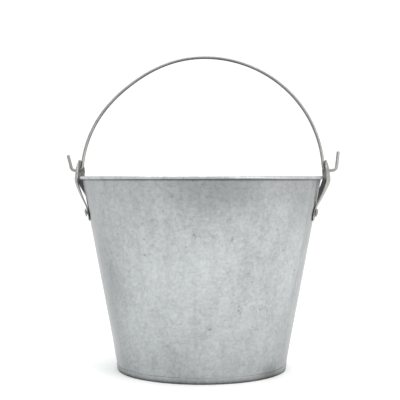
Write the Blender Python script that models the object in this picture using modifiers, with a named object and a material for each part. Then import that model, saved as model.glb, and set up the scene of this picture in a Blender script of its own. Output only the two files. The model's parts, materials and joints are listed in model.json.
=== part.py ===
"""Galvanised ice bucket: a tapered sheet pail with a wired rim, a folded-on bottom,
two riveted ears and a wire bail that swings in them.

Metres, +Z up. The origin is on the pail's axis at the level it stands on.
+X points at one ear and -X at the other, so the bail's pivot axis lies along X.
The bail is modelled leaning back, towards +Y.
"""

import math

import bmesh
import bpy
from mathutils import Vector

# Pail body
HEIGHT = 0.146
FOOT_RADIUS = 0.0635  # outer face of the wall's cone, carried down to the ground
MOUTH_RADIUS = 0.0905  # the same cone, carried up to the full height
SHEET = 0.00045  # galvanised sheet
GAP = 0.0003  # clearance kept between neighbouring pieces
ROUND_STEPS = 64

# Rolled rim
BEAD_RADIUS = 0.00125
CURL_SWEEP = math.radians(290)
RIM_WIRE_RADIUS = BEAD_RADIUS - SHEET - GAP

# Folded bottom seam
SEAM_HEIGHT = 0.0045
WALL_EDGE_HEIGHT = 0.0015  # lower edge of the wall, inside the fold
NECK_START = 0.0056
NECK_END = 0.0047
FLOOR_TOP = 0.0044
FLOOR_CORNER = 0.001
FOLD_CORNER = 0.0004

# Side lap
LAP_ANGLE = math.radians(-28.125)
LAP_FACETS = 1

# Ears
EAR_SHEET = 0.0009
EAR_TOP = 0.1583
HEAD_CENTRE = 0.148
HEAD_HALF_WIDTH = 0.0164
FOOT_CENTRE = 0.1173
FOOT_OFFSET = 0.0174
FOOT_END_RADIUS = 0.0046
ARCH_CENTRE = 0.126
ARCH_TOP = 0.1422
ARCH_HALF_WIDTH = 0.0114
# The ear's outer face on its centre line: height, distance from the pail's axis.
EAR_SPINE = (
    (0.1245, 0.0885),
    (0.1286, 0.0911),
    (0.1362, 0.0952),
    (0.1425, 0.0974),
    (0.1476, 0.0971),
    (0.1504, 0.0967),
    (0.1537, 0.0960),
    (0.1583, 0.0944),
)
FLAT_FOOT_TOP = 0.1205
FOOT_DISH_RADIUS = 0.087
HEAD_DISH_RADIUS = 0.039
DISH_START = 0.120
DISH_END = 0.142
EAR_GRID = 20
EAR_GRID_MARGIN = 0.002

# Rivets
RIVET_HEIGHT = 0.1192
RIVET_SHANK_RADIUS = 0.0014
RIVET_HEAD_RADIUS = 0.0031
RIVET_HEAD_HEIGHT = 0.0013
RIVET_TAIL_RADIUS = 0.0024
RIVET_TAIL_HEIGHT = 0.0008
RIVET_STEPS = 16

# Bail
PIVOT_HEIGHT = 0.1504
BAIL_LEAN = math.radians(20)
WIRE_RADIUS = 0.0012
PIVOT_HOLE_RADIUS = WIRE_RADIUS + 0.0004
BAIL_RISE = 0.0956
BAIL_FLAT = 0.023  # how far the left shoulder is bent in, as a share of its radius
BAIL_FLAT_ANGLE = math.radians(130)
BAIL_FLAT_SPREAD = math.radians(23)
INNER_BEND = 0.003
ARCH_PIECES = 56

# The bail and the ears are bent by hand, so the two sides differ a little.
# ear_set_in: how much nearer the axis the ear's head is than its spine says.
# span: the bail's half width. bend: radius of the hook's bend, whose upright starts
# at reach. tip: the end of the hook, across and up from the pivot.
RIGHT_SIDE = {
    "ear_set_in": 0.0,
    "span": 0.0922,
    "bend": 0.0037,
    "reach": 0.1024,
    "tip": (0.1039, 0.0152),
}
LEFT_SIDE = {
    "ear_set_in": 0.0007,
    "span": 0.0916,
    "bend": 0.0034,
    "reach": 0.1003,
    "tip": (0.1030, 0.0123),
}

WHOLE_TURN = 2 * math.pi
MERGE_DISTANCE = 0.00001


def clear_scene():
    for obj in list(bpy.data.objects):
        bpy.data.objects.remove(obj, do_unlink=True)


def new_collection(name):
    collection = bpy.data.collections.new(name)
    bpy.context.scene.collection.children.link(collection)
    return collection


def new_material(name, colour, roughness, metallic):
    material = bpy.data.materials.new(name)
    material.use_nodes = True
    shader = material.node_tree.nodes["Principled BSDF"]
    shader.inputs["Base Color"].default_value = (*colour, 1.0)
    shader.inputs["Roughness"].default_value = roughness
    shader.inputs["Metallic"].default_value = metallic
    return material


def wall_radius(height):
    """Outer face of the wall's cone at a height."""
    return FOOT_RADIUS + (MOUTH_RADIUS - FOOT_RADIUS) * height / HEIGHT


def arc(centre_x, centre_y, radius, start, end, pieces):
    """Points along an arc, both ends included."""
    points = []
    for index in range(pieces + 1):
        angle = start + (end - start) * index / pieces
        points.append((centre_x + radius * math.cos(angle), centre_y + radius * math.sin(angle)))
    return points


def smoothstep(value):
    value = min(max(value, 0.0), 1.0)
    return value * value * (3 - 2 * value)


def profile_object(name, points, closed, collection, material=None):
    """A line of edges in the XZ plane, given as (radius, height) pairs."""
    mesh = bpy.data.meshes.new(name)
    count = len(points)
    edges = [(index, index + 1) for index in range(count - 1)]
    if closed:
        edges.append((count - 1, 0))
    mesh.from_pydata([(radius, 0.0, height) for radius, height in points], edges, [])
    obj = bpy.data.objects.new(name, mesh)
    collection.objects.link(obj)
    if material:
        mesh.materials.append(material)
    return obj


def add_screw(obj, steps, sweep=WHOLE_TURN):
    screw = obj.modifiers.new("turn", "SCREW")
    screw.axis = "Z"
    screw.angle = sweep
    screw.steps = steps
    screw.render_steps = steps
    screw.use_merge_vertices = sweep == WHOLE_TURN
    screw.merge_threshold = MERGE_DISTANCE
    screw.use_smooth_shade = True


def add_solidify(obj, thickness):
    solidify = obj.modifiers.new("thickness", "SOLIDIFY")
    solidify.thickness = thickness
    solidify.offset = 0.0
    solidify.use_even_offset = True


def add_boolean(obj, other, operation):
    boolean = obj.modifiers.new(operation.lower(), "BOOLEAN")
    boolean.operation = operation
    boolean.object = other


def hide_cutter(obj):
    obj.hide_render = True
    obj.display_type = "WIRE"


def baked_mesh(obj):
    """The object's mesh with its modifiers applied."""
    depsgraph = bpy.context.evaluated_depsgraph_get()
    mesh = bpy.data.meshes.new_from_object(obj.evaluated_get(depsgraph))
    welder = bmesh.new()
    welder.from_mesh(mesh)
    bmesh.ops.remove_doubles(welder, verts=welder.verts, dist=MERGE_DISTANCE)
    welder.to_mesh(mesh)
    welder.free()
    return mesh


def rod_cutter(name, radius, length, location, direction, collection):
    """A round cutter centred on a point, along a direction."""
    mesh = bpy.data.meshes.new(name)
    builder = bmesh.new()
    bmesh.ops.create_cone(
        builder,
        cap_ends=True,
        segments=RIVET_STEPS,
        radius1=radius,
        radius2=radius,
        depth=length,
    )
    builder.to_mesh(mesh)
    builder.free()
    obj = bpy.data.objects.new(name, mesh)
    collection.objects.link(obj)
    obj.location = location
    obj.rotation_euler = direction.to_track_quat("Z", "Y").to_euler()
    hide_cutter(obj)
    return obj


def rivet_seats():
    """Name, point on the wall's outer face, and outward direction of each rivet."""
    radius = wall_radius(RIVET_HEIGHT)
    slope = (MOUTH_RADIUS - FOOT_RADIUS) / HEIGHT
    turn = math.asin(FOOT_OFFSET / radius)
    seats = []
    for side, middle in (("right", 0.0), ("left", math.pi)):
        for place, angle in (("front", middle - turn), ("back", middle + turn)):
            if side == "left":
                angle = middle + turn if place == "front" else middle - turn
            outward = Vector((math.cos(angle), math.sin(angle), 0.0))
            point = outward * radius + Vector((0.0, 0.0, RIVET_HEIGHT))
            normal = (outward - Vector((0.0, 0.0, slope))).normalized()
            seats.append((f"rivet_{side}_{place}", point, normal))
    return seats


def bead_centre():
    """Radius and height of the middle of the rolled rim."""
    height = HEIGHT - BEAD_RADIUS
    radius = wall_radius(height) - SHEET / 2 + BEAD_RADIUS - SHEET / 2
    return radius, height


def build_wall(parts, cutters, material):
    """Tapered sheet, curled over the rim wire and necked in where the bottom folds over it."""
    rim_radius, rim_height = bead_centre()
    half = SHEET / 2
    curl = arc(rim_radius, rim_height, BEAD_RADIUS - half, math.pi - CURL_SWEEP, math.pi, 12)
    cone = [(wall_radius(NECK_START) - half, NECK_START)]
    neck = [
        (wall_radius(NECK_END) - GAP - half, NECK_END),
        (wall_radius(WALL_EDGE_HEIGHT) - GAP - half, WALL_EDGE_HEIGHT),
    ]
    wall = profile_object("pail_wall", curl + cone + neck, False, parts, material)
    add_screw(wall, ROUND_STEPS)
    add_solidify(wall, SHEET)

    lap_bottom = NECK_START + GAP
    lap_top = rim_height - BEAD_RADIUS - GAP
    lap = profile_object(
        "side_lap",
        [
            (wall_radius(lap_top) + half, lap_top),
            (wall_radius(lap_bottom) + half, lap_bottom),
        ],
        False,
        cutters,
    )
    add_screw(lap, LAP_FACETS, WHOLE_TURN * LAP_FACETS / ROUND_STEPS)
    add_solidify(lap, 2 * SHEET)
    lap.rotation_euler.z = LAP_ANGLE
    hide_cutter(lap)
    add_boolean(wall, lap, "UNION")

    for name, point, normal in rivet_seats():
        hole = rod_cutter(
            f"wall_hole_{name}", RIVET_SHANK_RADIUS + GAP, 0.004, point, normal, cutters
        )
        add_boolean(wall, hole, "DIFFERENCE")


def build_rim_wire(parts, material):
    rim_radius, rim_height = bead_centre()
    bpy.ops.mesh.primitive_torus_add(
        major_radius=rim_radius,
        minor_radius=RIM_WIRE_RADIUS,
        major_segments=ROUND_STEPS,
        minor_segments=8,
        location=(0.0, 0.0, rim_height),
    )
    wire = bpy.context.object
    wire.name = "rim_wire"
    wire.data.name = "rim_wire"
    wire.data.materials.append(material)
    wire.data.shade_smooth()
    for collection in list(wire.users_collection):
        collection.objects.unlink(wire)
    parts.objects.link(wire)


def build_bottom(parts, material):
    """Raised floor whose edge is folded down, under the wall and up its outside."""
    half = SHEET / 2
    outer_offset = half
    inner_offset = -(GAP + SHEET + GAP + half)
    ground = half
    corner_height = ground + FOLD_CORNER
    corner_radius = wall_radius(corner_height)
    floor_mid = FLOOR_TOP - half
    floor_turn = floor_mid - FLOOR_CORNER

    outer_lip = [(wall_radius(SEAM_HEIGHT) + outer_offset, SEAM_HEIGHT)]
    outer_fold = arc(
        corner_radius + outer_offset - FOLD_CORNER, corner_height, FOLD_CORNER, 0, -math.pi / 2, 3
    )
    inner_fold = arc(
        corner_radius + inner_offset + FOLD_CORNER,
        corner_height,
        FOLD_CORNER,
        -math.pi / 2,
        -math.pi,
        3,
    )
    floor_edge = arc(
        wall_radius(floor_turn) + inner_offset - FLOOR_CORNER,
        floor_turn,
        FLOOR_CORNER,
        0,
        math.pi / 2,
        3,
    )
    profile = outer_lip + outer_fold + inner_fold + floor_edge + [(0.0, floor_mid)]
    pan = profile_object("bottom_pan", profile, False, parts, material)
    add_screw(pan, ROUND_STEPS)
    add_solidify(pan, SHEET)


def build_seal(parts, material):
    """Ring of sealing compound in the fold, under the wall's lower edge."""
    top = WALL_EDGE_HEIGHT - GAP
    bottom = SHEET + GAP
    outer = wall_radius(bottom) - GAP
    inner = wall_radius(top) - 2 * GAP - SHEET + GAP
    profile = [(outer, top), (outer, bottom), (inner, bottom), (inner, top)]
    seal = profile_object("seam_seal", profile, True, parts, material)
    add_screw(seal, ROUND_STEPS)


def ear_reach(height):
    """Outer face of the ear on its centre line: flat on the wall at the foot, then the spine."""
    standoff = GAP + EAR_SHEET
    knots = [
        (FLAT_FOOT_TOP - 0.012, wall_radius(FLAT_FOOT_TOP - 0.012) + standoff),
        (FLAT_FOOT_TOP - 0.006, wall_radius(FLAT_FOOT_TOP - 0.006) + standoff),
        (FLAT_FOOT_TOP, wall_radius(FLAT_FOOT_TOP) + standoff),
        *EAR_SPINE,
        (EAR_TOP + 0.004, EAR_SPINE[-1][1] - 0.0018),
    ]
    index = 1
    while index < len(knots) - 3 and height > knots[index + 1][0]:
        index += 1
    (z0, x0), (z1, x1), (z2, x2), (z3, x3) = knots[index - 1 : index + 3]
    slope1 = (x2 - x0) / (z2 - z0)
    slope2 = (x3 - x1) / (z3 - z1)
    span = z2 - z1
    t = (height - z1) / span
    start = (2 * t**3 - 3 * t**2 + 1) * x1 + (t**3 - 2 * t**2 + t) * span * slope1
    end = (3 * t**2 - 2 * t**3) * x2 + (t**3 - t**2) * span * slope2
    return start + end


def ear_surface(across, height, set_in):
    """Middle of the ear's sheet: bent along its height and dished about the vertical."""
    blend = smoothstep((height - DISH_START) / (DISH_END - DISH_START))
    curvature = (1 - blend) / FOOT_DISH_RADIUS + blend / HEAD_DISH_RADIUS
    return ear_reach(height) - set_in * blend - EAR_SHEET / 2 - across**2 * curvature / 2


def ear_outline():
    """Round head, two legs with round feet, and the arch between the legs."""
    quarter = math.pi / 2
    head = [
        (HEAD_HALF_WIDTH * x, HEAD_CENTRE + (EAR_TOP - HEAD_CENTRE) * y)
        for x, y in arc(0, 0, 1, quarter, 0, 10)
    ]
    foot = arc(FOOT_OFFSET, FOOT_CENTRE, FOOT_END_RADIUS, 0, -math.pi, 10)
    arch = [
        (ARCH_HALF_WIDTH * x, ARCH_CENTRE + (ARCH_TOP - ARCH_CENTRE) * y)
        for x, y in arc(0, 0, 1, 0, quarter, 10)
    ]
    half = head + foot + arch
    mirrored = [(-x, z) for x, z in reversed(half[1:-1])]
    return half + mirrored


def ear_prism():
    """The outline as a solid block that the bent sheets are trimmed with."""
    curve = bpy.data.curves.new("ear_outline", "CURVE")
    curve.dimensions = "2D"
    curve.fill_mode = "BOTH"
    curve.extrude = 0.02
    spline = curve.splines.new("POLY")
    outline = ear_outline()
    spline.points.add(len(outline) - 1)
    for point, (across, height) in zip(spline.points, outline):
        point.co = (across, height, 0.0, 1.0)
    spline.use_cyclic_u = True
    guide = bpy.data.objects.new("ear_outline", curve)
    bpy.context.scene.collection.objects.link(guide)
    bpy.context.view_layer.update()
    mesh = baked_mesh(guide)
    bpy.data.objects.remove(guide, do_unlink=True)
    return mesh


def ear_sheet(name, set_in, parts):
    """An untrimmed rectangle of the ear's bent and dished sheet."""
    half_width = FOOT_OFFSET + FOOT_END_RADIUS + EAR_GRID_MARGIN
    low = FOOT_CENTRE - FOOT_END_RADIUS - EAR_GRID_MARGIN
    high = EAR_TOP + EAR_GRID_MARGIN
    mesh = bpy.data.meshes.new(name)
    builder = bmesh.new()
    bmesh.ops.create_grid(builder, x_segments=EAR_GRID, y_segments=EAR_GRID, size=1.0)
    for vert in builder.verts:
        across = vert.co.x * half_width
        height = (low + high) / 2 + vert.co.y * (high - low) / 2
        vert.co = (ear_surface(across, height, set_in), across, height)
    builder.to_mesh(mesh)
    builder.free()
    sheet = bpy.data.objects.new(name, mesh)
    parts.objects.link(sheet)
    add_solidify(sheet, EAR_SHEET)
    return sheet


def build_ear(name, side, turn, prism, parts, cutters, material):
    """A bent sheet, trimmed to the outline and pierced. The left ear is turned half round."""
    ear = ear_sheet(name, side["ear_set_in"], parts)
    ear.rotation_euler.z = turn
    ear.data.materials.append(material)
    outline = bpy.data.objects.new(f"{name}_outline", prism)
    outline.rotation_euler = (math.pi / 2, 0.0, math.pi / 2 + turn)
    outline.location.x = EAR_SPINE[0][1] * math.cos(turn)
    cutters.objects.link(outline)
    hide_cutter(outline)
    add_boolean(ear, outline, "INTERSECT")
    pivot = Vector((outline.location.x, 0.0, PIVOT_HEIGHT))
    along = Vector((1.0, 0.0, 0.0))
    pivot_hole = rod_cutter(f"{name}_pivot", PIVOT_HOLE_RADIUS, 0.04, pivot, along, cutters)
    add_boolean(ear, pivot_hole, "DIFFERENCE")
    for rivet, point, normal in rivet_seats():
        if point.x * pivot.x > 0:
            hole = rod_cutter(
                f"ear_hole_{rivet}", RIVET_SHANK_RADIUS + GAP, 0.006, point, normal, cutters
            )
            add_boolean(ear, hole, "DIFFERENCE")


def build_rivets(parts, material):
    """Domed heads outside the ears, shanks through ear and wall, upset tails inside."""
    head_base = 2 * GAP + EAR_SHEET + GAP
    tail_top = -SHEET - GAP
    dome = [
        (RIVET_HEAD_RADIUS * x, head_base + RIVET_HEAD_HEIGHT * y)
        for x, y in arc(0, 0, 1, math.pi / 2, 0, 5)
    ]
    dome[0] = (0.0, head_base + RIVET_HEAD_HEIGHT)
    stem = [(RIVET_SHANK_RADIUS, head_base), (RIVET_SHANK_RADIUS, tail_top)]
    tail = [
        (RIVET_TAIL_RADIUS, tail_top),
        (RIVET_TAIL_RADIUS, tail_top - RIVET_TAIL_HEIGHT / 2),
        (RIVET_TAIL_RADIUS * 0.8, tail_top - RIVET_TAIL_HEIGHT),
        (0.0, tail_top - RIVET_TAIL_HEIGHT),
    ]
    for name, point, normal in rivet_seats():
        rivet = profile_object(name, dome + stem + tail, False, parts, material)
        rivet.location = point
        rivet.rotation_euler = normal.to_track_quat("Z", "Y").to_euler()
        add_screw(rivet, RIVET_STEPS)


def bail_arch_point(angle):
    """A point on the bail's arch: an ellipse, flattened a little at the left shoulder."""
    flat = BAIL_FLAT * math.exp(-(((angle - BAIL_FLAT_ANGLE) / BAIL_FLAT_SPREAD) ** 2))
    span = RIGHT_SIDE["span"] if math.cos(angle) > 0 else LEFT_SIDE["span"]
    return (span * math.cos(angle) * (1 - flat), BAIL_RISE * math.sin(angle) * (1 - flat))


def hook_points(side):
    """From the hook's tip down and round its bend, through the ear, and up inside it."""
    quarter = math.pi / 2
    bend = side["bend"]
    reach = side["reach"]
    tip_across, tip_up = side["tip"]
    tip = [(tip_across, tip_up), ((tip_across + reach) / 2, (tip_up + bend) / 2)]
    outer = arc(reach - bend, bend, bend, 0, -quarter, 5)
    inner = arc(
        side["span"] + INNER_BEND, INNER_BEND, INNER_BEND, -quarter, -2 * quarter, 4
    )
    return tip + outer + inner


def bail_points():
    right = hook_points(RIGHT_SIDE)
    left = [(-across, up) for across, up in reversed(hook_points(LEFT_SIDE))]
    start = math.asin(2 * INNER_BEND / BAIL_RISE)
    arch = []
    for index in range(ARCH_PIECES + 1):
        arch.append(bail_arch_point(start + (math.pi - 2 * start) * index / ARCH_PIECES))
    return right + arch + left


def build_bail(parts, material):
    curve = bpy.data.curves.new("bail", "CURVE")
    curve.dimensions = "3D"
    curve.bevel_depth = WIRE_RADIUS
    curve.bevel_resolution = 2
    curve.use_fill_caps = True
    spline = curve.splines.new("POLY")
    points = bail_points()
    spline.points.add(len(points) - 1)
    for point, (across, up) in zip(spline.points, points):
        point.co = (across, 0.0, up, 1.0)
    curve.materials.append(material)
    bail = bpy.data.objects.new("bail", curve)
    bail.location.z = PIVOT_HEIGHT
    bail.rotation_euler.x = -BAIL_LEAN
    parts.objects.link(bail)


def main():
    clear_scene()
    parts = new_collection("ice_bucket")
    cutters = new_collection("cutters")
    build_wall(parts, cutters, new_material("zinc_wall", (0.52, 0.55, 0.55), 0.45, 0.9))
    build_rim_wire(parts, new_material("rim_wire_steel", (0.35, 0.35, 0.35), 0.5, 1.0))
    build_bottom(parts, new_material("zinc_bottom", (0.45, 0.48, 0.48), 0.5, 0.9))
    build_seal(parts, new_material("seam_compound", (0.12, 0.12, 0.12), 0.7, 0.0))
    ear_material = new_material("zinc_ear", (0.42, 0.42, 0.42), 0.45, 0.9)
    prism = ear_prism()
    build_ear("ear_right", RIGHT_SIDE, 0.0, prism, parts, cutters, ear_material)
    build_ear("ear_left", LEFT_SIDE, math.pi, prism, parts, cutters, ear_material)
    build_rivets(parts, new_material("rivet_steel", (0.45, 0.45, 0.45), 0.4, 1.0))
    build_bail(parts, new_material("bail_wire_steel", (0.38, 0.38, 0.38), 0.35, 1.0))


main()
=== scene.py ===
"""Looks of the galvanised ice bucket: fine sheet metal, ears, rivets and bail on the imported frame."""

import json
import math

import bmesh
import bpy
from mathutils import Matrix, Vector


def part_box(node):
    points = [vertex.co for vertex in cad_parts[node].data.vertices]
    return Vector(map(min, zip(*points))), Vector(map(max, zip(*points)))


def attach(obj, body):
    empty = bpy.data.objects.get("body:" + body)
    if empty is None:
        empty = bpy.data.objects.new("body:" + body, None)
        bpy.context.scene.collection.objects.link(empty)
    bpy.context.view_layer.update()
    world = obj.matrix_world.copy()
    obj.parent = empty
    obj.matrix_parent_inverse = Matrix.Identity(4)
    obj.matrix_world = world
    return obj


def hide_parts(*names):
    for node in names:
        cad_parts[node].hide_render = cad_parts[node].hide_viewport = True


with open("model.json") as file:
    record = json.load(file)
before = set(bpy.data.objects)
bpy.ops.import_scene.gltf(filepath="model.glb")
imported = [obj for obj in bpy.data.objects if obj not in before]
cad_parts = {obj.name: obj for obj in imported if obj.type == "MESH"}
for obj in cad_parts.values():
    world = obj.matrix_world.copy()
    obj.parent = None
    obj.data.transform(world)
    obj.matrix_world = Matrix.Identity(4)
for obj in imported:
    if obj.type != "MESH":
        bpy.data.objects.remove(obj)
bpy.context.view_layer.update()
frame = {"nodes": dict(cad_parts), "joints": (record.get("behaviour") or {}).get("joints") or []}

# Pail, from the frame and the sheet it is made of
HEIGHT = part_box("pail_wall")[1][2]
FOOT_RADIUS = 0.0635
MOUTH_RADIUS = 0.0905
SHEET = 0.00045
GAP = 0.0003
BEAD_RADIUS = 0.00123
CURL_SWEEP = math.radians(290)
WALL_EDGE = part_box("pail_wall")[0][2]
NECK_START = 0.0046
NECK_END = 0.0044
SEAM_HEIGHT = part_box("bottom_pan")[1][2]
FLOOR_TOP = 0.0044
FLOOR_CORNER = 0.001
FOLD_CORNER = 0.0004
COLUMNS = 360
BOTTOM_COLUMNS = 256
WALL_ROWS = 56
CURL_PIECES = 26
WALL_TOP_DROP = 0.0006  # the straight wall ends this far below the bead's centre
BEAD_BOTTOM = HEIGHT - 2 * BEAD_RADIUS
CONE_TOP = BEAD_BOTTOM - 0.0004  # neither dents nor the lap reach higher than this
LAST_WALL_ROW = WALL_ROWS + 3  # rows after this one belong to the bead's curl

# Folded lip of the bottom: distance below its top, and how far it leans in there
LIP_STEPS = ((0.0, 0.00012), (0.0005, 0.00005), (0.0012, 0.0))
LIP_BOTTOM = 0.0022
FOLD_PIECES = 6

# Ring pressed in the floor, and the radii of the flat middle inside it
RING_OUTER = 0.058
RING_WIDTH = 0.010
RING_DEPTH = 0.0007
RING_PIECES = 24
FLOOR_RADII = (0.03, 0.012, 0.0)

# Waves of the sheet: lobes round the pail, twist with height, phase and depth
WAVES = ((5, 40, 0.0, 0.00006), (11, -75, 1.3, 0.00005))
# Knocks: angle in degrees, height, spread in degrees, spread in height, distance outwards
KNOCKS = (
    (-23, 0.040, 9, 0.014, -0.00030),
    (-118, 0.070, 12, 0.020, -0.00014),
    (-64, 0.098, 10, 0.016, 0.00012),
    (68, 0.060, 13, 0.022, -0.00022),
    (152, 0.090, 11, 0.018, -0.00020),
)
DENT_FOOT = 0.008
DENT_RIM = 0.006
DENT_FADE = 0.02

# Side lap: where the outer edge of the sheet shows, and how wide the overlap is
LAP_ANGLE = math.radians(-24.5)
LAP_WIDTH = math.radians(6)
LAP_EASE = math.radians(11)
LAP_STEP = math.radians(0.5)
LAP_RISE = 0.00025
LAP_FOOT_FADE = 0.0012
LAP_RIM_FADE = 0.0014
LAP_SHADE_WIDTH = 1.5 * LAP_WIDTH

# Marks that the wall's mesh carries for its material
LAP_SHADE = "lap_shade"
LAP_SHADE_TOP = 0.085
LAP_SHADE_BOTTOM = 0.045
INSIDE = "inside"

# Ears
EAR_SHEET = 0.0009
EAR_EDGE = 0.00012
EAR_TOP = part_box("ear_right")[1][2]
HEAD_CENTRE = 0.148
HEAD_HALF_WIDTH = 0.0164
FOOT_CENTRE = 0.1173
FOOT_OFFSET = 0.0174
FOOT_END_RADIUS = 0.0046
ARCH_CENTRE = 0.126
ARCH_TOP = 0.1422
ARCH_HALF_WIDTH = 0.0114
EAR_SPINE = (
    (0.1245, 0.0885),
    (0.1286, 0.0911),
    (0.1362, 0.0952),
    (0.1425, 0.0974),
    (0.1476, 0.0971),
    (0.1504, 0.0967),
    (0.1537, 0.0960),
    (0.1583, 0.0944),
)
FLAT_FOOT_TOP = 0.1205
FOOT_DISH_RADIUS = 0.087
HEAD_DISH_RADIUS = 0.039
DISH_START = 0.120
DISH_END = 0.142
FLAT_FOOT_DROPS = (0.012, 0.006, 0.0)  # below FLAT_FOOT_TOP, where the ear follows the wall
SPINE_END_RISE = 0.004
SPINE_END_LEAN = 0.0018
EAR_GRID_STEP = 0.001
EAR_MERGE = 0.00002
EAR_SHARP_ANGLE = 40
HEAD_PIECES = 28
HOLE_PIECES = 28
ROUND_PIECES = 24
NUDGE = 1e-5  # step used to find the slope of the bent plate

# Painted shade on the inner side of the ears: heights and how bright the zinc stays there
INNER_SIDE = "inner_side"
INNER_EAR_SHADE_STOPS = ((0.0, 0.10), (0.1255, 0.10), (0.1325, 0.42), (0.142, 0.68), (0.146, 0.92))

# Rivets
RIVET_HEIGHT = 0.1192
RIVET_SHANK_RADIUS = 0.0014
RIVET_HEAD_RADIUS = 0.0031
RIVET_HEAD_HEIGHT = 0.0013
RIVET_TAIL_RADIUS = 0.0024
RIVET_TAIL_HEIGHT = 0.0008
RIVET_HEAD_EDGE = 0.0002
RIVET_HEAD_UNDERCUT = 0.00012
RIVET_TAIL_CHAMFER = 0.0001
RIVET_TAIL_ROUND = ((0.97, 0.6), (0.8, 0.93), (0.5, 1.0), (0.0, 1.0))  # shares of radius, height
RIVET_COLUMNS = 40
DOME_PIECES = 14

# Bail
PIVOT_HEIGHT = frame["joints"][0]["pos_m"][2]
BAIL_LEAN = math.radians(20)
WIRE_RADIUS = 0.0012
WIRE_SIDES = 20
WIRE_CHAMFER = 0.0003
PIVOT_HOLE_RADIUS = WIRE_RADIUS + 0.0004
BAIL_RISE = 0.0955
BAIL_FLAT = 0.023
BAIL_FLAT_ANGLE = math.radians(130)
BAIL_FLAT_SPREAD = math.radians(23)
INNER_BEND = 0.003
ARCH_PIECES = 200
TIP_PIECES = 8
BEND_PIECES = 14
EASE_PASSES = 3
EASE_KEPT = 0.6
EASE_SHARED = 0.2
# Heights above the pivot between which the wire's painted light on its outer side and painted shade on
# its inner side set in
WIRE_SHADE_START = 0.012
WIRE_SHADE_END = 0.030
RIGHT_SIDE = {
    "ear_set_in": 0.0,
    "span": 0.0922,
    "bend": 0.0037,
    "reach": 0.1024,
    "tip": (0.1039, 0.0152),
}
LEFT_SIDE = {
    "ear_set_in": 0.0007,
    "span": 0.0916,
    "bend": 0.0034,
    "reach": 0.1003,
    "tip": (0.1030, 0.0123),
}

# Camera and studio
CAMERA_AZIMUTH = math.radians(2.3)
CAMERA_DISTANCE = 0.7425
CAMERA_HEIGHT = 0.1446
CAMERA_PITCH = math.radians(1.29)
CAMERA_TURN = math.radians(0.097)
LENS = 87.75
FLOOR_SIZE = 4.0
WORLD_STRENGTH = 1.12
# Surroundings by direction along X, from -1 to 1: each side's tone, and where it meets white
LEFT_BAND = (-0.85, -0.45)
LEFT_TONE = (0.90, 0.90, 0.90)
RIGHT_BAND = (0.6, 0.95)
RIGHT_TONE = (1.28, 1.20, 1.10, 1.0)
LIGHT_TARGET = (0.0, 0.0, 0.09)

# Finishes. Tones and patches were set to follow those in the photo.
DULL_EDGE = (0.89, 0.89, 0.89, 1.0)
NOISE_BAND = (0.3, 0.7)  # the range that most of a noise texture's values lie in
CLOUD_DEPTH = 0.24
FINE_DEPTH = 0.34
STREAK_DEPTH = 0.14
CRYSTAL_DEPTH = 0.30
FLECK_BAND = (0.60, 0.72)
FLECK_FACTOR = 0.84
PIT_BAND = (0.68, 0.78)
PIT_FACTOR = 0.66
ZINC_RELIEF = (0.12, 0.0003)  # bump strength and distance
METAL_RELIEF = (0.04, 0.0001)
COMPOUND_RELIEF = (0.2, 0.0002)
# Painted light brightening the inside of the wall below the bead
INSIDE_PAINTED_LIGHT = 1.5
# Painted shade in the strip beside the lap's edge
LAP_PAINTED_SHADE = 0.91
# Wall: height and brightness factor, with painted shade darkening the upper wall, a painted shadow line
# under the bead and a painted highlight on the bead
WALL_LIGHT_AND_SHADE_STOPS = (
    (0.0, 1.06),
    (0.014, 1.0),
    (0.082, 1.0),
    (0.105, 0.97),
    (0.121, 0.92),
    (0.134, 0.85),
    (0.1422, 0.82),
    (0.1433, 0.40),
    (0.1439, 0.40),
    (0.1445, 1.35),
)
# Patches of painted light and painted shade following the light on the wall, and a darker patch at the
# right of the foot: centre, stretch along each axis, radius and brightness factor
WALL_LIGHT_AND_SHADE_PATCHES = (
    ((0.018, -0.088, 0.138), (1.0, 1.0, 1.7), 0.055, 0.76),
    ((-0.068, -0.041, 0.068), (1.0, 1.0, 0.36), 0.036, 0.76),
    ((-0.060, -0.022, 0.010), (1.0, 1.0, 0.5), 0.022, 1.18),
    ((-0.020, -0.080, 0.070), (1.0, 1.0, 0.7), 0.045, 1.07),
    ((0.052, -0.040, 0.004), (1.0, 1.0, 1.5), 0.017, 0.72),
    ((0.064, -0.024, 0.030), (1.0, 1.0, 0.6), 0.036, 0.90),
    ((0.066, -0.044, 0.080), (1.0, 1.0, 0.5), 0.028, 1.12),
)
# Painted shade on the wall beside the four feet of the ears, standing in for the shadow in the gap and
# its dark reflection in the wall
EAR_FOOT_SHADE_X = 0.0826
EAR_FOOT_SHADE_Y = 0.0224
EAR_FOOT_SHADE_HEIGHT = 0.1185
EAR_FOOT_SHADE_STRETCH = (1.0, 1.0, 0.5)
EAR_FOOT_SHADE_RADIUS = 0.0050
EAR_FOOT_SHADE_FACTOR = 0.35
# Bottom: height and brightness factor, with painted shade darkening the foot towards its lower edge on
# the floor
FOOT_SHADE_STOPS = (
    (0.0, 0.22),
    (0.0005, 0.24),
    (0.0014, 0.55),
    (0.0024, 0.85),
    (0.0045, 1.0),
)
# Bottom patches, a darker patch at the right of the foot and painted light on the floor inside the pan:
# centre, stretch along each axis, radius and brightness factor
FOOT_PATCH_AND_FLOOR_LIGHT = (
    ((0.052, -0.040, 0.003), (1.0, 1.0, 1.0), 0.020, 0.6),
    ((0.0, 0.0, 0.0044), (1.0, 1.0, 12.0), 0.063, 1.25),
)
# Painted light on the wire's outer side and painted shade on its inner side
WIRE_SIDE_LIGHT_AND_SHADE = (1.35, 0.55)


# ---------------------------------------------------------------- small helpers


def smoothstep(value):
    value = min(max(value, 0.0), 1.0)
    return value * value * (3 - 2 * value)


def wall_radius(height):
    return FOOT_RADIUS + (MOUTH_RADIUS - FOOT_RADIUS) * height / HEIGHT


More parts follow.
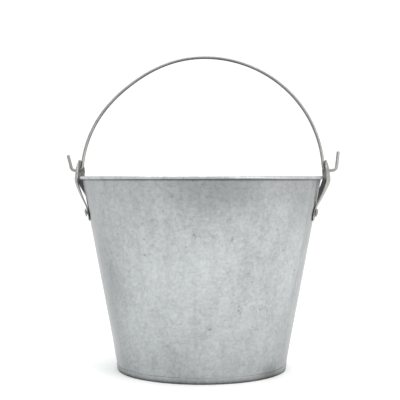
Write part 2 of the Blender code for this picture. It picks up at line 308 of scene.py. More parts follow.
def arc(centre_x, centre_y, radius, start, end, pieces):
    points = []
    for index in range(pieces + 1):
        angle = start + (end - start) * index / pieces
        points.append((centre_x + radius * math.cos(angle), centre_y + radius * math.sin(angle)))
    return points


def link_mesh(name, builder, sharp_angle=35):
    """A new object from a bmesh, shaded smooth with its sharp edges kept."""
    bmesh.ops.recalc_face_normals(builder, faces=builder.faces)
    mesh = bpy.data.meshes.new(name)
    builder.to_mesh(mesh)
    builder.free()
    mesh.shade_smooth()
    mesh.set_sharp_from_angle(angle=math.radians(sharp_angle))
    obj = bpy.data.objects.new(name, mesh)
    bpy.context.scene.collection.objects.link(obj)
    return obj


def place(piece, material, body, slot, *nodes):
    """Gives a piece its material and puts it on its body in place of CAD nodes."""
    piece.data.materials.clear()
    piece.data.materials.append(material)
    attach(piece, body)
    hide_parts(*nodes)


def thick_profile(line, thickness):
    """A closed profile: a line of (radius, height) points given a thickness."""
    count = len(line)
    one_side, other_side = [], []
    for index, (x, z) in enumerate(line):
        x0, z0 = line[max(index - 1, 0)]
        x1, z1 = line[min(index + 1, count - 1)]
        length = math.hypot(x1 - x0, z1 - z0)
        across = ((z1 - z0) / length * thickness / 2, -(x1 - x0) / length * thickness / 2)
        one_side.append((x + across[0], z + across[1]))
        other_side.append((x - across[0], z - across[1]))
    return one_side, other_side


def lathe(name, profile, angles, shift=None):
    """Turns a closed profile; shift(angle, index, height) moves a point outwards."""
    builder = bmesh.new()
    rings = []
    for angle in angles:
        ring = []
        for index, (radius, height) in enumerate(profile):
            reach = radius + (shift(angle, index, height) if shift else 0.0)
            point = (reach * math.cos(angle), reach * math.sin(angle), height)
            ring.append(builder.verts.new(point))
        rings.append(ring)
    count = len(profile)
    for ring, following in zip(rings, rings[1:] + rings[:1]):
        for index in range(count):
            after = (index + 1) % count
            builder.faces.new((ring[index], following[index], following[after], ring[after]))
    bmesh.ops.remove_doubles(builder, verts=builder.verts, dist=1e-7)
    return link_mesh(name, builder)


def even_angles(count):
    return [2 * math.pi * index / count for index in range(count)]


# ---------------------------------------------------------------- materials


def node_material(name, metallic, edge_tint=(1.0, 1.0, 1.0, 1.0)):
    material = bpy.data.materials.new(name)
    material.use_nodes = True
    tree = material.node_tree
    shader = tree.nodes["Principled BSDF"]
    shader.inputs["Metallic"].default_value = metallic
    shader.inputs["Specular Tint"].default_value = edge_tint
    return material, tree, shader


def object_space(tree, scale):
    """Object coordinates, stretched by a scale along each axis."""
    coordinates = tree.nodes.new("ShaderNodeTexCoord")
    mapping = tree.nodes.new("ShaderNodeMapping")
    mapping.inputs["Scale"].default_value = scale
    tree.links.new(coordinates.outputs["Object"], mapping.inputs["Vector"])
    return mapping.outputs["Vector"]


def noise(tree, vector, scale, detail=4.0, roughness=0.55, distortion=0.0):
    texture = tree.nodes.new("ShaderNodeTexNoise")
    texture.inputs["Scale"].default_value = scale
    texture.inputs["Detail"].default_value = detail
    texture.inputs["Roughness"].default_value = roughness
    texture.inputs["Distortion"].default_value = distortion
    tree.links.new(vector, texture.inputs["Vector"])
    return texture.outputs["Fac"]


def remap(tree, value, low, high, new_low, new_high):
    node = tree.nodes.new("ShaderNodeMapRange")
    node.inputs["From Min"].default_value = low
    node.inputs["From Max"].default_value = high
    node.inputs["To Min"].default_value = new_low
    node.inputs["To Max"].default_value = new_high
    tree.links.new(value, node.inputs["Value"])
    return node.outputs["Result"]


def swing(tree, value, depth):
    """A noise value spread evenly about zero, as far as depth each way."""
    return remap(tree, value, *NOISE_BAND, -depth, depth)


def combine(tree, operation, first, second):
    node = tree.nodes.new("ShaderNodeMath")
    node.operation = operation
    tree.links.new(first, node.inputs[0])
    if isinstance(second, float):
        node.inputs[1].default_value = second
    else:
        tree.links.new(second, node.inputs[1])
    return node.outputs["Value"]


def mix_colours(tree, factor, dark, light):
    node = tree.nodes.new("ShaderNodeMix")
    node.data_type = "RGBA"
    node.inputs[6].default_value = (*dark, 1.0)
    node.inputs[7].default_value = (*light, 1.0)
    tree.links.new(factor, node.inputs[0])
    return node.outputs[2]


def scale_colour(tree, colour, factor):
    node = tree.nodes.new("ShaderNodeVectorMath")
    node.operation = "SCALE"
    tree.links.new(colour, node.inputs[0])
    tree.links.new(factor, node.inputs["Scale"])
    return node.outputs["Vector"]


def spangle(tree, vector, scale):
    """Crystal patches of different tone, as on hot-dip zinc."""
    texture = tree.nodes.new("ShaderNodeTexVoronoi")
    texture.inputs["Scale"].default_value = scale
    texture.inputs["Randomness"].default_value = 1.0
    tree.links.new(vector, texture.inputs["Vector"])
    return texture.outputs["Color"]


def warped(tree, vector, scale, amount):
    """The same coordinates pushed about by noise, so that patches get ragged edges."""
    texture = tree.nodes.new("ShaderNodeTexNoise")
    texture.inputs["Scale"].default_value = scale
    texture.inputs["Detail"].default_value = 3.0
    tree.links.new(vector, texture.inputs["Vector"])
    scaled = tree.nodes.new("ShaderNodeVectorMath")
    scaled.operation = "MULTIPLY_ADD"
    scaled.inputs[1].default_value = (amount, amount, amount)
    tree.links.new(texture.outputs["Color"], scaled.inputs[0])
    tree.links.new(vector, scaled.inputs[2])
    return scaled.outputs["Vector"]


def bump(tree, shader, height, strength, distance):
    node = tree.nodes.new("ShaderNodeBump")
    node.inputs["Strength"].default_value = strength
    node.inputs["Distance"].default_value = distance
    tree.links.new(height, node.inputs["Height"])
    tree.links.new(node.outputs["Normal"], shader.inputs["Normal"])


def height_shade(tree, stops):
    """A factor that follows the height above the ground: (height, factor) stops."""
    coordinates = tree.nodes.new("ShaderNodeTexCoord")
    split = tree.nodes.new("ShaderNodeSeparateXYZ")
    tree.links.new(coordinates.outputs["Object"], split.inputs["Vector"])
    level = remap(tree, split.outputs["Z"], 0.0, HEIGHT, 0.0, 1.0)
    ramp = tree.nodes.new("ShaderNodeValToRGB")
    ramp.color_ramp.interpolation = "EASE"
    elements = ramp.color_ramp.elements
    while len(elements) < len(stops):
        elements.new(0.5)
    for element, (height, factor) in zip(elements, stops):
        element.position = height / HEIGHT
        element.color = (factor, factor, factor, 1.0)
    tree.links.new(level, ramp.inputs["Fac"])
    return ramp.outputs["Color"]


def outside_patches(tree, patches):
    """All the patches together, left off where the mesh is marked as inside."""
    product = tone_patch(tree, *patches[0])
    for patch in patches[1:]:
        product = combine(tree, "MULTIPLY", product, tone_patch(tree, *patch))
    change = combine(tree, "SUBTRACT", product, 1.0)
    change = combine(tree, "MULTIPLY", change, marked(tree, INSIDE, 0.0))
    return combine(tree, "ADD", change, 1.0)


def marked(tree, name, factor):
    """A factor where the mesh carries a mark of that name, and 1 elsewhere."""
    mark = tree.nodes.new("ShaderNodeAttribute")
    mark.attribute_name = name
    return remap(tree, mark.outputs["Fac"], 0.0, 1.0, 1.0, factor)


def inner_painted_shade(tree):
    """A factor of painted shade for the inner side of an ear, nearly black at its feet."""
    inner = tree.nodes.new("ShaderNodeAttribute")
    inner.attribute_name = INNER_SIDE
    darkening = remap(tree, height_shade(tree, INNER_EAR_SHADE_STOPS), 0.0, 1.0, 1.0, 0.0)
    covered = combine(tree, "MULTIPLY", inner.outputs["Fac"], darkening)
    return remap(tree, covered, 0.0, 1.0, 1.0, 0.0)


def tone_patch(tree, centre, stretch, radius, factor):
    """A soft-edged lighter or darker patch of the sheet about a point."""
    coordinates = tree.nodes.new("ShaderNodeTexCoord")
    offset = tree.nodes.new("ShaderNodeVectorMath")
    offset.operation = "SUBTRACT"
    offset.inputs[1].default_value = centre
    tree.links.new(coordinates.outputs["Object"], offset.inputs[0])
    scaled = tree.nodes.new("ShaderNodeVectorMath")
    scaled.operation = "MULTIPLY"
    scaled.inputs[1].default_value = stretch
    tree.links.new(offset.outputs["Vector"], scaled.inputs[0])
    length = tree.nodes.new("ShaderNodeVectorMath")
    length.operation = "LENGTH"
    tree.links.new(scaled.outputs["Vector"], length.inputs[0])
    node = tree.nodes.new("ShaderNodeMapRange")
    node.interpolation_type = "SMOOTHERSTEP"
    node.inputs["From Min"].default_value = 0.0
    node.inputs["From Max"].default_value = radius
    node.inputs["To Min"].default_value = factor
    node.inputs["To Max"].default_value = 1.0
    tree.links.new(length.outputs["Value"], node.inputs["Value"])
    return node.outputs["Result"]


def zinc(name, dark, light, roughness, stops=None, mottle=1.0, patches=(), marks=(), inner_shade=False):
    """Galvanised sheet: fine spangle, cloudy mottling, faint streaks, flecks and a satin finish."""
    material, tree, shader = node_material(name, 1.0, DULL_EDGE)
    even = object_space(tree, (1.0, 1.0, 1.0))
    tall = object_space(tree, (1.0, 1.0, 0.3))
    flat = object_space(tree, (0.45, 0.45, 1.6))
    ragged = warped(tree, even, scale=160.0, amount=0.006)

    cloud = noise(tree, even, scale=20.0, detail=5.0, roughness=0.6, distortion=0.3)
    fine = noise(tree, even, scale=420.0, detail=4.0, roughness=0.75)
    streak = noise(tree, tall, scale=120.0, detail=3.0, roughness=0.6)
    fleck = noise(tree, flat, scale=330.0, detail=3.0, roughness=0.6)
    crystals = remap(tree, spangle(tree, ragged, scale=300.0), 0.0, 1.0, -0.5, 0.5)

    tone = combine(tree, "ADD", swing(tree, cloud, CLOUD_DEPTH), 0.5)
    tone = combine(tree, "ADD", tone, swing(tree, fine, FINE_DEPTH))
    tone = combine(tree, "ADD", tone, swing(tree, streak, STREAK_DEPTH))
    tone = combine(tree, "ADD", tone, combine(tree, "MULTIPLY", crystals, CRYSTAL_DEPTH * mottle))
    colour = mix_colours(tree, tone, dark, light)

    flecks = remap(tree, fleck, *FLECK_BAND, 1.0, FLECK_FACTOR)
    pit_noise = noise(tree, even, scale=260.0, detail=2.0, roughness=0.5)
    pits = remap(tree, pit_noise, *PIT_BAND, 1.0, PIT_FACTOR)
    colour = scale_colour(tree, colour, combine(tree, "MULTIPLY", pits, flecks))
    # The height stops, patches and marks below mostly paint light and shade onto the sheet
    if stops:
        colour = scale_colour(tree, colour, height_shade(tree, stops))
    if patches:
        colour = scale_colour(tree, colour, outside_patches(tree, patches))
    for mark, factor in marks:
        colour = scale_colour(tree, colour, marked(tree, mark, factor))
    # Painted shade on the inner side of the ears
    if inner_shade:
        colour = scale_colour(tree, colour, inner_painted_shade(tree))
    tree.links.new(colour, shader.inputs["Base Color"])

    tree.links.new(
        remap(tree, combine(tree, "ADD", cloud, fine), 0.6, 1.4, roughness - 0.07, roughness + 0.09),
        shader.inputs["Roughness"],
    )
    relief = combine(tree, "ADD", fine, combine(tree, "MULTIPLY", streak, 0.5))
    bump(tree, shader, relief, *ZINC_RELIEF)
    return material


def plain_metal(name, dark, light, roughness, scale, lit_and_shaded_sides=None):
    """Plated wire or rivet steel: small tonal changes and fine marks."""
    material, tree, shader = node_material(name, 1.0)
    vector = object_space(tree, (1.0, 1.0, 1.0))
    marks = noise(tree, vector, scale, detail=5.0, roughness=0.65)
    worn = noise(tree, vector, scale * 0.18, detail=3.0, roughness=0.5)
    tone = combine(tree, "MULTIPLY", combine(tree, "ADD", marks, worn), 0.5)
    colour = mix_colours(tree, remap(tree, tone, 0.36, 0.64, 0.0, 1.0), dark, light)
    # Painted light on the outer side and painted shade on the inner side, following the side mark
    if lit_and_shaded_sides:
        side = tree.nodes.new("ShaderNodeAttribute")
        side.attribute_name = INNER_SIDE
        colour = scale_colour(tree, colour, remap(tree, side.outputs["Fac"], 0.0, 1.0, *lit_and_shaded_sides))
    tree.links.new(colour, shader.inputs["Base Color"])
    tree.links.new(
        remap(tree, marks, 0.3, 0.7, roughness - 0.06, roughness + 0.08), shader.inputs["Roughness"]
    )
    bump(tree, shader, marks, *METAL_RELIEF)
    return material


def compound(name):
    """Dark sealing compound with a slight grain."""
    material, tree, shader = node_material(name, 0.0)
    grain = noise(tree, object_space(tree, (1.0, 1.0, 1.0)), 500.0)
    colour = mix_colours(tree, grain, (0.02, 0.02, 0.02), (0.06, 0.06, 0.055))
    tree.links.new(colour, shader.inputs["Base Color"])
    tree.links.new(remap(tree, grain, 0.3, 0.7, 0.6, 0.8), shader.inputs["Roughness"])
    bump(tree, shader, grain, *COMPOUND_RELIEF)
    return material


# ---------------------------------------------------------------- pail


def bead_centre():
    height = HEIGHT - BEAD_RADIUS
    return wall_radius(height) - SHEET + BEAD_RADIUS, height


def wall_line():
    """Middle of the wall's sheet, from its lower edge in the fold up and round the bead."""
    half = SHEET / 2
    rim_radius, rim_height = bead_centre()
    line = [
        (wall_radius(WALL_EDGE) - GAP - half, WALL_EDGE),
        (wall_radius(NECK_END) - GAP - half, NECK_END),
    ]
    for index in range(WALL_ROWS + 1):
        height = NECK_START + (rim_height - WALL_TOP_DROP - NECK_START) * index / WALL_ROWS
        line.append((wall_radius(height) - half, height))
    end = math.pi - CURL_SWEEP
    return line + arc(rim_radius, rim_height, BEAD_RADIUS - half, math.pi, end, CURL_PIECES)


def dents(angle, height):
    """Shallow waves and soft knocks in the sheet, fading out at the rim and the foot."""
    fade = smoothstep((height - DENT_FOOT) / DENT_FADE)
    fade *= smoothstep((HEIGHT - DENT_RIM - height) / DENT_FADE)
    wave = 0.0
    for lobes, twist, phase, depth in WAVES:
        wave += depth * math.sin(lobes * angle + twist * height + phase)
    for centre, level, spread, tall, depth in KNOCKS:
        turn = (math.degrees(angle) - centre + 180) % 360 - 180
        wave += depth * math.exp(-((turn / spread) ** 2) - ((height - level) / tall) ** 2)
    return wave * fade


def lap_height(angle, start):
    """Rise of the overlapping sheet: a sharp edge at start, easing back to nothing."""
    turn = (angle - start + math.pi) % (2 * math.pi) - math.pi
    if turn < 0 or turn > LAP_WIDTH + LAP_EASE:
        return 0.0
    rise = min(turn / LAP_STEP, 1.0)
    return LAP_RISE * rise * (1 - smoothstep((turn - LAP_WIDTH) / LAP_EASE))


def wall_angles():
    angles = even_angles(COLUMNS)
    for start in (LAP_ANGLE, LAP_ANGLE + LAP_WIDTH):
        angles.append(start % (2 * math.pi))
        angles.append((start + LAP_STEP) % (2 * math.pi))
    return sorted(angles)


def mark_wall(mesh):
    """Marks the inside of the sheet below the bead, which gets painted light, and the strip beside the
    lap's edge, which gets painted shade.
    """
    inside = mesh.attributes.new(INSIDE, "FLOAT", "POINT")
    lap_shade = mesh.attributes.new(LAP_SHADE, "FLOAT", "POINT")
    for vert in mesh.vertices:
        x, y, height = vert.co
        faces_in = vert.normal.x * x + vert.normal.y * y < 0
        if faces_in:
            inside.data[vert.index].value = 1.0 if height < BEAD_BOTTOM else 0.0
            continue
        turn = (math.atan2(y, x) - LAP_ANGLE + math.pi) % (2 * math.pi) - math.pi
        if turn < 0:
            continue
        shade = min(turn / LAP_STEP, 1.0)
        shade *= 1 - smoothstep((turn - LAP_SHADE_WIDTH) / LAP_EASE)
        fade = (height - LAP_SHADE_BOTTOM) / (LAP_SHADE_TOP - LAP_SHADE_BOTTOM)
        lap_shade.data[vert.index].value = shade * smoothstep(fade)


def build_wall(material):
    outer, inner = thick_profile(wall_line(), SHEET)
    profile = outer + inner[::-1]
    outer_count = len(outer)

    def shift(angle, index, height):
        on_cone = NECK_START <= height <= CONE_TOP
        row = index if index < outer_count else 2 * outer_count - 1 - index
        if not on_cone or row > LAST_WALL_ROW:
            return 0.0
        start = LAP_ANGLE if index < outer_count else LAP_ANGLE + LAP_WIDTH
        ends = smoothstep((height - NECK_START) / LAP_FOOT_FADE)
        ends *= smoothstep((CONE_TOP - height) / LAP_RIM_FADE)
        return dents(angle, height) + lap_height(angle, start) * ends

    wall = lathe("wall_sheet", profile, wall_angles(), shift)
    mark_wall(wall.data)
    place(wall, material, "pail", "zinc_wall", "pail_wall")


def build_bottom(material):
    """Floor with a pressed ring, its edge folded down, under the wall and up outside it."""
    half = SHEET / 2
    inner_offset = -(GAP + SHEET + GAP + half)
    corner = half + FOLD_CORNER
    corner_radius = wall_radius(corner)
    floor_mid = FLOOR_TOP - half
    floor_turn = floor_mid - FLOOR_CORNER
    lip = []
    for drop, lean in LIP_STEPS:
        height = SEAM_HEIGHT - drop
        lip.append((wall_radius(height) + half - lean, height))
    lip.append((wall_radius(LIP_BOTTOM) + half, LIP_BOTTOM))
    quarter = math.pi / 2
    outer_centre = corner_radius + half - FOLD_CORNER
    inner_centre = corner_radius + inner_offset + FOLD_CORNER
    edge_centre = wall_radius(floor_turn) + inner_offset - FLOOR_CORNER
    outer_fold = arc(outer_centre, corner, FOLD_CORNER, 0, -quarter, FOLD_PIECES)
    inner_fold = arc(inner_centre, corner, FOLD_CORNER, -quarter, -math.pi, FOLD_PIECES)
    edge = arc(edge_centre, floor_turn, FLOOR_CORNER, 0, quarter, FOLD_PIECES)
    ring = []
    for index in range(RING_PIECES + 1):
        radius = RING_OUTER - RING_WIDTH * index / RING_PIECES
        dip = RING_DEPTH * math.sin(math.pi * index / RING_PIECES) ** 2
        ring.append((radius, floor_mid - dip))
    centre = [(radius, floor_mid) for radius in FLOOR_RADII]
    line = lip + outer_fold + inner_fold + edge + ring + centre
    one, other = thick_profile(line, SHEET)
    one[-1] = (0.0, one[-1][1])
    other[-1] = (0.0, other[-1][1])
    pan = lathe("bottom_cup", one + other[::-1], even_angles(BOTTOM_COLUMNS))
    place(pan, material, "pail", "zinc_bottom", "bottom_pan")


# ---------------------------------------------------------------- ears and rivets


def ear_reach(height):
    """How far out the ear's outer face stands, on a smooth curve through the knots."""
    standoff = GAP + EAR_SHEET
    knots = []
    for drop in FLAT_FOOT_DROPS:
        knots.append((FLAT_FOOT_TOP - drop, wall_radius(FLAT_FOOT_TOP - drop) + standoff))
    knots.extend(EAR_SPINE)
    knots.append((EAR_TOP + SPINE_END_RISE, EAR_SPINE[-1][1] - SPINE_END_LEAN))
    index = 1
    while index < len(knots) - 3 and height > knots[index + 1][0]:
        index += 1
    (z0, x0), (z1, x1), (z2, x2), (z3, x3) = knots[index - 1 : index + 3]
    slope1 = (x2 - x0) / (z2 - z0)
    slope2 = (x3 - x1) / (z3 - z1)
    span = z2 - z1
    t = (height - z1) / span
    start = (2 * t**3 - 3 * t**2 + 1) * x1 + (t**3 - 2 * t**2 + t) * span * slope1
    end = (3 * t**2 - 2 * t**3) * x2 + (t**3 - t**2) * span * slope2
    return start + end


def ear_surface(across, height, set_in):
    """How far out the middle of the bent ear lies at a place on its flat outline."""
    blend = smoothstep((height - DISH_START) / (DISH_END - DISH_START))
    curvature = (1 - blend) / FOOT_DISH_RADIUS + blend / HEAD_DISH_RADIUS
    return ear_reach(height) - set_in * blend - EAR_SHEET / 2 - across**2 * curvature / 2


def ear_outline():
    quarter = math.pi / 2
    head = [
        (HEAD_HALF_WIDTH * x, HEAD_CENTRE + (EAR_TOP - HEAD_CENTRE) * y)
        for x, y in arc(0, 0, 1, quarter, 0, HEAD_PIECES)
    ]
    foot = arc(FOOT_OFFSET, FOOT_CENTRE, FOOT_END_RADIUS, 0, -math.pi, ROUND_PIECES)
    arch = [
        (ARCH_HALF_WIDTH * x, ARCH_CENTRE + (ARCH_TOP - ARCH_CENTRE) * y)
        for x, y in arc(0, 0, 1, 0, quarter, ROUND_PIECES)
    ]
    half = head + foot + arch
    return half + [(-x, z) for x, z in reversed(half[1:-1])]


def ear_blank():
    """The ear before bending: a flat plate with eased edges and the pivot hole."""
    curve = bpy.data.curves.new("ear_blank", "CURVE")
    curve.dimensions = "2D"
    curve.fill_mode = "BOTH"
    curve.extrude = EAR_SHEET / 2 - EAR_EDGE
    curve.bevel_depth = EAR_EDGE
    curve.bevel_resolution = 2
    curve.offset = -EAR_EDGE
    hole = arc(0.0, PIVOT_HEIGHT, PIVOT_HOLE_RADIUS, 0, 2 * math.pi, HOLE_PIECES)[:-1]
    for loop in (ear_outline(), hole):
        spline = curve.splines.new("POLY")
        spline.points.add(len(loop) - 1)
        for point, (across, height) in zip(spline.points, loop):
            point.co = (across, height, 0.0, 1.0)
        spline.use_cyclic_u = True
    guide = bpy.data.objects.new("ear_blank", curve)
    bpy.context.scene.collection.objects.link(guide)
    bpy.context.view_layer.update()
    depsgraph = bpy.context.evaluated_depsgraph_get()
    mesh = bpy.data.meshes.new_from_object(guide.evaluated_get(depsgraph))
    bpy.data.objects.remove(guide, do_unlink=True)
    return mesh


def cut_in_strips(builder, axis, low, high):
    """Cuts the flat plate along even lines, so that it bends smoothly."""
    normal = Vector((0.0, 0.0, 0.0))
    normal[axis] = 1.0
    count = int((high - low) / EAR_GRID_STEP)
    for index in range(1, count):
        place_at = normal * (low + (high - low) * index / count)
        geometry = builder.verts[:] + builder.edges[:] + builder.faces[:]
        bmesh.ops.bisect_plane(
            builder, geom=geometry, dist=1e-6, plane_co=place_at, plane_no=normal
        )


def build_ear(name, node, side, turn, blank, material):
    """Bends a copy of the blank to the wall, marks its inner side and turns it into place."""
    builder = bmesh.new()
    builder.from_mesh(blank)
    bmesh.ops.remove_doubles(builder, verts=builder.verts, dist=1e-6)
    bmesh.ops.dissolve_limit(
        builder, angle_limit=0.001, verts=builder.verts, edges=builder.edges
    )
    half_width = FOOT_OFFSET + FOOT_END_RADIUS
    cut_in_strips(builder, 0, -half_width, half_width)
    cut_in_strips(builder, 1, FOOT_CENTRE - FOOT_END_RADIUS, EAR_TOP)
    bmesh.ops.remove_doubles(builder, verts=builder.verts, dist=EAR_MERGE)
    set_in = side["ear_set_in"]
    inner_side = builder.verts.layers.float.new(INNER_SIDE)
    outer_rim = EAR_SHEET / 2 - EAR_EDGE
    for vert in builder.verts:
        across, height, depth = vert.co
        vert[inner_side] = 0.0 if depth > outer_rim else 1.0
        reach = ear_surface(across, height, set_in)
        slope_across = (ear_surface(across + NUDGE, height, set_in) - reach) / NUDGE
        slope_up = (ear_surface(across, height + NUDGE, set_in) - reach) / NUDGE
        normal = Vector((1.0, -slope_across, -slope_up)).normalized()
        vert.co = Vector((reach, across, height)) + normal * depth
    bmesh.ops.rotate(builder, verts=builder.verts, matrix=Matrix.Rotation(turn, 3, "Z"))
    ear = link_mesh(name, builder, EAR_SHARP_ANGLE)
    place(ear, material, "pail", "zinc_ear", node)


def rivet_seats():
    """Name, place on the wall and outward direction of each rivet."""
    radius = wall_radius(RIVET_HEIGHT)
    slope = (MOUTH_RADIUS - FOOT_RADIUS) / HEIGHT
    turn = math.asin(FOOT_OFFSET / radius)
    seats = []
    for side, middle, front in (("right", 0.0, -turn), ("left", math.pi, turn)):
        for spot, angle in (("front", middle + front), ("back", middle - front)):
            outward = Vector((math.cos(angle), math.sin(angle), 0.0))
            point = outward * radius + Vector((0.0, 0.0, RIVET_HEIGHT))
            normal = (outward - Vector((0.0, 0.0, slope))).normalized()
            seats.append((f"{side}_{spot}", point, normal))
    return seats


def build_rivets(material):
    """Domed heads with a rolled edge, shanks, and upset tails inside the wall."""
    head_base = 3 * GAP + EAR_SHEET
    tail_top = -SHEET - GAP
    dome_height = RIVET_HEAD_HEIGHT - RIVET_HEAD_EDGE
    dome = [
        (RIVET_HEAD_RADIUS * x, head_base + RIVET_HEAD_EDGE + dome_height * y)
        for x, y in arc(0, 0, 1, math.pi / 2, 0, DOME_PIECES)
    ]
    dome[0] = (0.0, dome[0][1])
    profile = dome + [
        (RIVET_HEAD_RADIUS - RIVET_HEAD_UNDERCUT, head_base),
        (RIVET_SHANK_RADIUS, head_base),
        (RIVET_SHANK_RADIUS, tail_top),
        (RIVET_TAIL_RADIUS - RIVET_TAIL_CHAMFER, tail_top),
        (RIVET_TAIL_RADIUS, tail_top - RIVET_TAIL_CHAMFER),
    ]
    for across, down in RIVET_TAIL_ROUND:
        profile.append((RIVET_TAIL_RADIUS * across, tail_top - RIVET_TAIL_HEIGHT * down))
    for name, point, normal in rivet_seats():
        rivet = lathe(f"rivet_{name}_dome", profile, even_angles(RIVET_COLUMNS))
        matrix = normal.to_track_quat("Z", "Y").to_matrix().to_4x4()
        rivet.data.transform(Matrix.Translation(point) @ matrix)
        place(rivet, material, "pail", "rivet_steel", f"rivet_{name}")


# ---------------------------------------------------------------- bail


def bail_arch_point(angle):
    """A point of the arch; its left shoulder is bent in a little."""
    flat = BAIL_FLAT * math.exp(-(((angle - BAIL_FLAT_ANGLE) / BAIL_FLAT_SPREAD) ** 2))
    span = RIGHT_SIDE["span"] if math.cos(angle) > 0 else LEFT_SIDE["span"]
    return (span * math.cos(angle) * (1 - flat), BAIL_RISE * math.sin(angle) * (1 - flat))


def hook_points(side):
    """One hooked end of the wire, from its tip to where the arch starts."""
    quarter = math.pi / 2
    bend = side["bend"]
    reach = side["reach"]
    tip_across, tip_up = side["tip"]
    tip = []
    for index in range(TIP_PIECES):
        share = index / TIP_PIECES
        tip.append(
            (tip_across + (reach - tip_across) * share, tip_up + (bend - tip_up) * share)
        )
    outer = arc(reach - bend, bend, bend, 0, -quarter, BEND_PIECES)
    inner_centre = side["span"] + INNER_BEND
    inner = arc(inner_centre, INNER_BEND, INNER_BEND, -quarter, -2 * quarter, BEND_PIECES)
    return tip + outer + inner


def bail_points():
    right = hook_points(RIGHT_SIDE)
    left = [(-across, up) for across, up in reversed(hook_points(LEFT_SIDE))]
    start = math.asin(2 * INNER_BEND / BAIL_RISE)
    arch = []
    for index in range(ARCH_PIECES + 1):
        arch.append(bail_arch_point(start + (math.pi - 2 * start) * index / ARCH_PIECES))
    return smooth_route(right + arch + left)


def smooth_route(points):
    """Eases the joins between bends and arch; the ends stay where they are."""
    for _ in range(EASE_PASSES):
        eased = [points[0]]
        for before, here, after in zip(points, points[1:], points[2:]):
            point = tuple(
                here[axis] * EASE_KEPT + (before[axis] + after[axis]) * EASE_SHARED
                for axis in (0, 1)
            )
            eased.append(point)
        eased.append(points[-1])
        points = eased
    return points


def build_bail(material):
    """Round wire swept along the bail's route, with chamfered ends."""
    route = [Vector((across, 0.0, up)) for across, up in bail_points()]
    side = Vector((0.0, 1.0, 0.0))
    builder = bmesh.new()
    inner_side = builder.verts.layers.float.new(INNER_SIDE)
    rings = []

    def ring_at(centre, direction, radius):
        up = direction.cross(side).normalized()
        on_arch = smoothstep((centre.z - WIRE_SHADE_START) / (WIRE_SHADE_END - WIRE_SHADE_START))
        ring = []
        for index in range(WIRE_SIDES):
            angle = 2 * math.pi * index / WIRE_SIDES
            offset = side * math.cos(angle) + up * math.sin(angle)
            vert = builder.verts.new(centre + offset * radius)
            # Mark for the painted light on the wire's outer side and painted shade on its inner side
            vert[inner_side] = 0.5 + 0.5 * math.sin(angle) * on_arch
            ring.append(vert)
        rings.append(ring)

    first = (route[1] - route[0]).normalized()
    last = (route[-1] - route[-2]).normalized()
    ring_at(route[0], first, WIRE_RADIUS - WIRE_CHAMFER)
    ring_at(route[0] + first * WIRE_CHAMFER, first, WIRE_RADIUS)
    for before, here, after in zip(route, route[1:], route[2:]):
        ring_at(here, (after - before).normalized(), WIRE_RADIUS)
    ring_at(route[-1] - last * WIRE_CHAMFER, last, WIRE_RADIUS)
    ring_at(route[-1], last, WIRE_RADIUS - WIRE_CHAMFER)
    for ring, following in zip(rings, rings[1:]):
        for index in range(WIRE_SIDES):
            after = (index + 1) % WIRE_SIDES
            builder.faces.new((ring[index], ring[after], following[after], following[index]))
    builder.faces.new(rings[0][::-1])
    builder.faces.new(rings[-1])
    place_in_world = Matrix.Translation((0.0, 0.0, PIVOT_HEIGHT)) @ Matrix.Rotation(
        -BAIL_LEAN, 4, "X"
    )
    bmesh.ops.transform(builder, matrix=place_in_world, verts=builder.verts)
    bail = link_mesh("bail_wire", builder)
    place(bail, material, "bail", "bail_wire_steel", "bail")


# ---------------------------------------------------------------- studio


def build_floor():
    builder = bmesh.new()
    bmesh.ops.create_grid(builder, x_segments=8, y_segments=8, size=FLOOR_SIZE)
    floor = link_mesh("floor", builder)
    material, tree, shader = node_material("pale_floor", 0.0)
    speckle = noise(tree, object_space(tree, (1.0, 1.0, 1.0)), 30.0)
    colour = mix_colours(tree, speckle, (0.975, 0.975, 0.975), (0.985, 0.985, 0.985))
    tree.links.new(colour, shader.inputs["Base Color"])
    shader.inputs["Roughness"].default_value = 0.9
    floor.data.materials.append(material)


def add_area_light(name, location, target, size, energy, colour):
    light = bpy.data.lights.new(name, "AREA")
    light.shape = "RECTANGLE"
    light.size, light.size_y = size
    light.energy = energy
    light.color = colour
    obj = bpy.data.objects.new(name, light)
    obj.location = location
    obj.rotation_euler = (Vector(target) - Vector(location)).to_track_quat("-Z", "Y").to_euler()
    bpy.context.scene.collection.objects.link(obj)


def build_studio():
    """White surroundings, a little dimmer on the left and brighter and warmer on the right."""
    world = bpy.data.worlds.new("studio")
    bpy.context.scene.world = world
    world.use_nodes = True
    tree = world.node_tree
    background = tree.nodes["Background"]
    coordinates = tree.nodes.new("ShaderNodeTexCoord")
    split = tree.nodes.new("ShaderNodeSeparateXYZ")
    tree.links.new(coordinates.outputs["Generated"], split.inputs["Vector"])
    left = remap(tree, split.outputs["X"], *LEFT_BAND, 0.0, 1.0)
    right = remap(tree, split.outputs["X"], *RIGHT_BAND, 0.0, 1.0)
    left_side = mix_colours(tree, left, LEFT_TONE, (1.0, 1.0, 1.0))
    both_sides = tree.nodes.new("ShaderNodeMix")
    both_sides.data_type = "RGBA"
    both_sides.inputs[7].default_value = RIGHT_TONE
    tree.links.new(right, both_sides.inputs[0])
    tree.links.new(left_side, both_sides.inputs[6])
    tree.links.new(both_sides.outputs[2], background.inputs["Color"])
    background.inputs["Strength"].default_value = WORLD_STRENGTH
    add_area_light(
        "key_light",
        location=(0.9, -0.9, 0.9),
        target=LIGHT_TARGET,
        size=(0.7, 0.7),
        energy=6.0,
        colour=(1.0, 0.985, 0.96),
    )
    add_area_light(
        "top_light",
        location=(-0.1, 0.1, 1.4),
        target=LIGHT_TARGET,
        size=(1.2, 1.2),
        energy=8.0,
        colour=(1.0, 1.0, 1.0),
    )
    bpy.context.scene.view_settings.view_transform = "Standard"


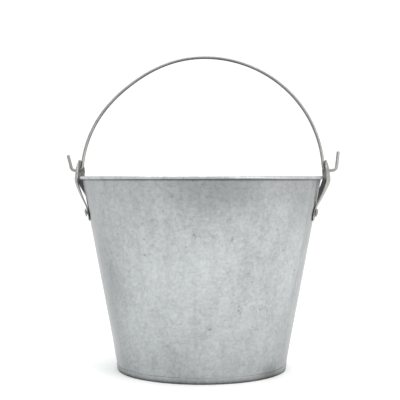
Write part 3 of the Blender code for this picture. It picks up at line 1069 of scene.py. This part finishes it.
def build_camera():
    data = bpy.data.cameras.new("camera")
    data.lens = LENS
    camera = bpy.data.objects.new("camera", data)
    camera.location = (
        CAMERA_DISTANCE * math.sin(CAMERA_AZIMUTH),
        -CAMERA_DISTANCE * math.cos(CAMERA_AZIMUTH),
        CAMERA_HEIGHT,
    )
    camera.rotation_euler = (
        math.pi / 2 - CAMERA_PITCH,
        0.0,
        CAMERA_AZIMUTH + CAMERA_TURN,
    )
    bpy.context.scene.collection.objects.link(camera)
    bpy.context.scene.camera = camera


def main():
    build_camera()
    build_studio()
    build_floor()

    # Painted shade on the wall beside each of the ears' four feet
    ear_foot_shade = tuple(
        ((x * EAR_FOOT_SHADE_X, y * EAR_FOOT_SHADE_Y, EAR_FOOT_SHADE_HEIGHT), EAR_FOOT_SHADE_STRETCH, EAR_FOOT_SHADE_RADIUS, EAR_FOOT_SHADE_FACTOR)
        for x in (-1, 1)
        for y in (-1, 1)
    )
    wall_zinc = zinc(
        "galvanised_wall",
        dark=(0.287, 0.305, 0.310),
        light=(0.458, 0.481, 0.487),
        roughness=0.36,
        stops=WALL_LIGHT_AND_SHADE_STOPS,
        patches=WALL_LIGHT_AND_SHADE_PATCHES + ear_foot_shade,
        marks=((INSIDE, INSIDE_PAINTED_LIGHT), (LAP_SHADE, LAP_PAINTED_SHADE)),
    )
    bottom_zinc = zinc(
        "galvanised_bottom",
        dark=(0.28, 0.295, 0.30),
        light=(0.46, 0.485, 0.49),
        roughness=0.42,
        stops=FOOT_SHADE_STOPS,
        patches=FOOT_PATCH_AND_FLOOR_LIGHT,
    )
    ear_zinc = zinc(
        "galvanised_ear",
        dark=(0.22, 0.22, 0.215),
        light=(0.41, 0.41, 0.40),
        roughness=0.42,
        mottle=0.5,
        inner_shade=True,
    )
    rivet_steel = plain_metal(
        "plated_rivet",
        dark=(0.16, 0.16, 0.16),
        light=(0.32, 0.32, 0.31),
        roughness=0.40,
        scale=900.0,
    )
    wire_steel = plain_metal(
        "drawn_wire",
        dark=(0.24, 0.24, 0.235),
        light=(0.33, 0.33, 0.32),
        roughness=0.40,
        scale=250.0,
        lit_and_shaded_sides=WIRE_SIDE_LIGHT_AND_SHADE,
    )
    rim_finish = plain_metal(
        "rim_wire_finish",
        dark=(0.2, 0.2, 0.2),
        light=(0.4, 0.4, 0.4),
        roughness=0.5,
        scale=600.0,
    )
    seam_finish = compound("seam_compound_finish")

    build_wall(wall_zinc)
    build_bottom(bottom_zinc)
    blank = ear_blank()
    build_ear("ear_plate_right", "ear_right", RIGHT_SIDE, 0.0, blank, ear_zinc)
    build_ear("ear_plate_left", "ear_left", LEFT_SIDE, math.pi, blank, ear_zinc)
    bpy.data.meshes.remove(blank)
    build_rivets(rivet_steel)
    build_bail(wire_steel)
    for node, material in (("rim_wire", rim_finish), ("seam_seal", seam_finish)):
        frame["nodes"][node].data.materials.clear()
        frame["nodes"][node].data.materials.append(material)


main()
